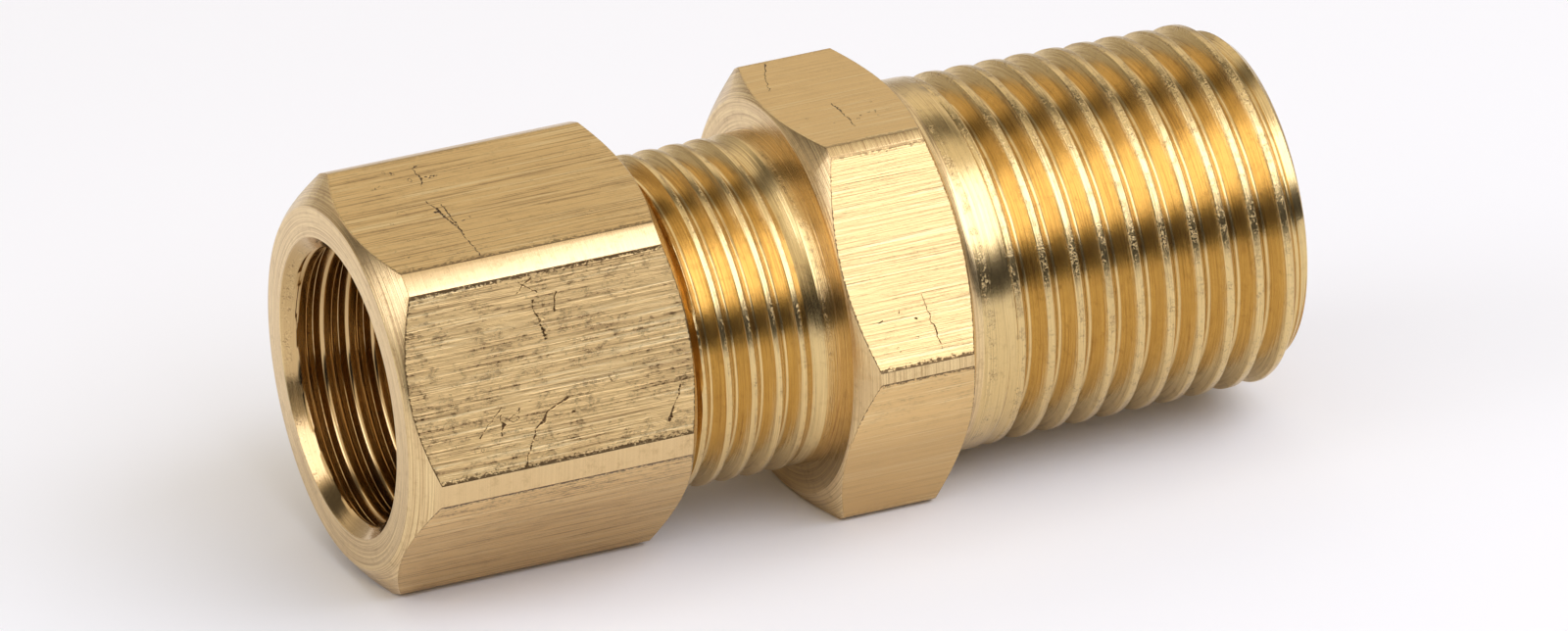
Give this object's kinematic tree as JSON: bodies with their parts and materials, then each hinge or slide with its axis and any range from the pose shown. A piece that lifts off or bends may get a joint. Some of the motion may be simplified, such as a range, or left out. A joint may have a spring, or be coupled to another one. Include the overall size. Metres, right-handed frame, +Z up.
{
  "type": "turned pipe fitting",
  "caption": "Turned brass pipe fitting with a tapped hexagonal socket, a threaded neck, a hexagonal collar and a long threaded spigot.",
  "frame": {"origin": "on the fitting's axis, at the plane of the socket's mouth face", "axes": "+X along the axis from the socket's mouth to the spigot's end, +Z up, with the collar's lowest flat level"},
  "size_m": [0.0542, 0.0256, 0.0226],
  "materials": {
    "brass": "bright as-machined brass with turning and milling marks"
  },
  "bodies": {
    "root": {"fitting": "brass"}
  },
  "joints": []
}
